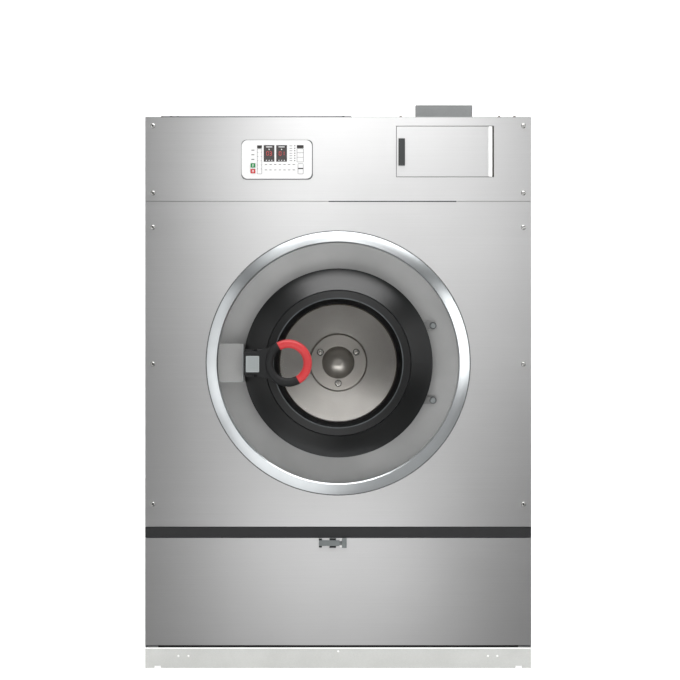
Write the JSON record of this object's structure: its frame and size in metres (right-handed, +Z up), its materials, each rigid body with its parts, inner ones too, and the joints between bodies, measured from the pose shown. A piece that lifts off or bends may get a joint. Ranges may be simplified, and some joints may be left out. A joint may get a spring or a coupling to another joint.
{
  "type": "front-loading washing machine",
  "caption": "Industrial front-loading washer-extractor: stainless cabinet, round black door with glass and ring handle, keypad, soap dispenser and lower access panel.",
  "frame": {"origin": "on the floor, under the middle of the whole machine", "axes": "+Z up, front towards -Y, +X to the right of someone facing the front"},
  "size_m": [1.0032, 1.2192, 1.464],
  "materials": {
    "panel_steel": "horizontal brushed stainless",
    "polished_steel": "polished",
    "drum_steel": "bright rolled stainless",
    "base_paint": "light grey paint",
    "frame_paint": "grey paint",
    "band_black": "matt black paint",
    "hood_grey": "matt grey paint",
    "keypad_white": "smooth overlay",
    "display_dark": "dark window",
    "start_green": "smooth",
    "stop_red": "smooth",
    "box_plastic": "moulded",
    "door_black": "fine moulded grain",
    "grip_red": "soft moulded",
    "door_glass": "clear pressed glass",
    "seal_rubber": "moulded rubber",
    "cast_aluminium": "cast",
    "lug_grey": "satin grey",
    "latch_grey": "satin grey",
    "drive_iron": "as cast",
    "motor_paint": "paint",
    "valve_brass": "machined"
  },
  "bodies": {
    "cabinet": {"band_strip": "band_black", "base_frame": "base_paint", "bearing_housing": "drive_iron", "bearings": "drive_iron", "cable_gland": "box_plastic", "control_box": "box_plastic", "control_panel": "panel_steel", "dispenser_hinge": "polished_steel", "dispenser_hopper": "box_plastic", "display_windows": "display_dark", "drain_pipe": "box_plastic", "drain_valve": "box_plastic", "drive_belt": "seal_rubber", "frame_posts": "frame_paint", "front_panel": "panel_steel", "hinge_lugs": "lug_grey", "hinge_pin": "polished_steel", "inlet_valves": "valve_brass", "keypad_plate": "keypad_white", "left_side_panel": "panel_steel", "lock_box": "lug_grey", "motor": "motor_paint", "motor_bracket": "frame_paint", "outer_tub": "drum_steel", "panel_pivots": "frame_paint", "panel_screws": "panel_steel", "rear_cover": "panel_steel", "rear_panel": "panel_steel", "right_side_panel": "panel_steel", "top_cover": "panel_steel", "top_lid": "panel_steel", "trim_ring": "polished_steel", "tub_cradle": "frame_paint", "tub_front": "drum_steel", "vent_duct": "drum_steel", "vent_hood": "hood_grey", "water_pipes": "box_plastic"},
    "door": {"door_ring": "door_black", "door_frame": "cast_aluminium", "door_glass": "door_glass", "door_seal": "seal_rubber", "hinge_arm": "lug_grey", "latch_base": "door_black", "handle_pin": "polished_steel"},
    "handle": {"handle": "door_black", "handle_grip": "grip_red"},
    "dispenser_door": {"dispenser_door": "panel_steel", "dispenser_pull": "door_black", "dispenser_leaf": "panel_steel"},
    "start_button": {"start_button": "start_green"},
    "stop_button": {"stop_button": "stop_red"},
    "drum": {"drum": "drum_steel", "drum_lifters": "drum_steel", "drum_spider": "drive_iron", "hub_cap": "drum_steel", "drum_pulley": "drive_iron"},
    "motor_rotor": {"motor_pulley": "drive_iron"},
    "lower_panel": {"lower_panel": "panel_steel", "panel_latch": "latch_grey"},
    "latch_toggle": {"latch_toggle": "latch_grey"}
  },
  "joints": [
    {"name": "door_hinge", "type": "hinge", "parent": "cabinet", "child": "door", "pos_m": [0.23, -0.51238, 0.7907], "axis": [0, 0, 1], "range_deg": [0, 95]},
    {"name": "handle_pull", "type": "hinge", "parent": "door", "child": "handle", "pos_m": [-0.228, -0.59537, 0.7907], "axis": [0, 0, -1], "range_deg": [0, 25], "stiffness_Nm_per_rad": 2},
    {"name": "dispenser_hinge", "type": "hinge", "parent": "cabinet", "child": "dispenser_door", "pos_m": [0.4015, -0.55037, 1.3385], "axis": [0, 0, 1], "range_deg": [0, 110]},
    {"name": "start_press", "type": "slide", "parent": "cabinet", "child": "start_button", "axis": [0, 1, 0], "range_m": [0, 0.001], "stiffness_N_per_m": 400},
    {"name": "stop_press", "type": "slide", "parent": "cabinet", "child": "stop_button", "axis": [0, 1, 0], "range_m": [0, 0.001], "stiffness_N_per_m": 400},
    {"name": "drum_spin", "type": "hinge", "parent": "cabinet", "child": "drum", "pos_m": [0, 0, 0.7907], "axis": [0, 1, 0], "continuous": true},
    {"name": "motor_spin", "type": "hinge", "parent": "cabinet", "child": "motor_rotor", "pos_m": [-0.26, 0, 0.235], "axis": [0, 1, 0], "continuous": true},
    {"name": "lower_panel_tilt", "type": "hinge", "parent": "cabinet", "child": "lower_panel", "pos_m": [0, -0.54038, 0.07], "axis": [1, 0, 0], "range_deg": [0, 60]},
    {"name": "latch_turn", "type": "hinge", "parent": "lower_panel", "child": "latch_toggle", "pos_m": [-0.0022, -0.56037, 0.3245], "axis": [0, -1, 0], "range_deg": [0, 90]}
  ],
  "couplings": [
    {"joint": "motor_spin", "follows": "drum_spin", "ratio": 3.6667}
  ]
}
